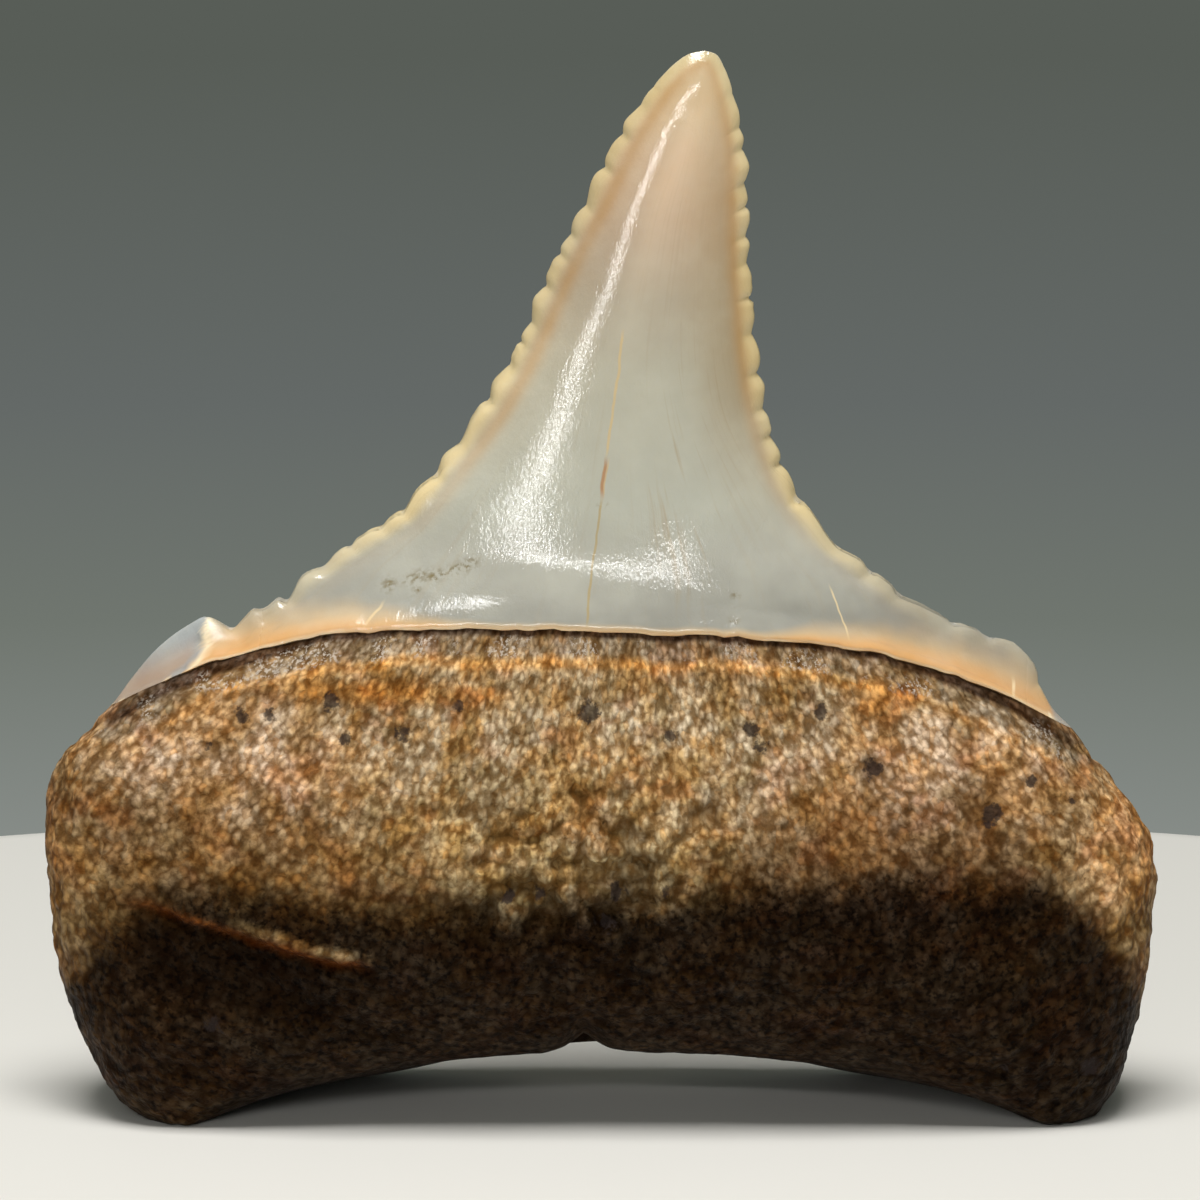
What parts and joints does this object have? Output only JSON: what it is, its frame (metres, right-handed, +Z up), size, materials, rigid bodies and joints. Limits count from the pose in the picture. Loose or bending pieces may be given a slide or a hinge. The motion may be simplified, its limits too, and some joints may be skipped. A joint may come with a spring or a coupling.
{
  "type": "fossil great white shark tooth",
  "caption": "Fossil shark tooth: leaning triangular blade with scalloped cutting edges on a thick arched root, standing on the two lobes of the root.",
  "frame": {"origin": "middle of the bounding box at the level of the two lobes that the tooth stands on", "axes": "+X across the tooth towards the side that the blade leans to, +Y from the bulging face to the flat face, +Z up from the lobes to the tip"},
  "size_m": [0.0302, 0.0078, 0.029],
  "materials": {
    "tooth": "glossy grey-ivory enamel crown, matte brown granular root"
  },
  "bodies": {
    "root": {"tooth": "tooth"}
  },
  "joints": []
}
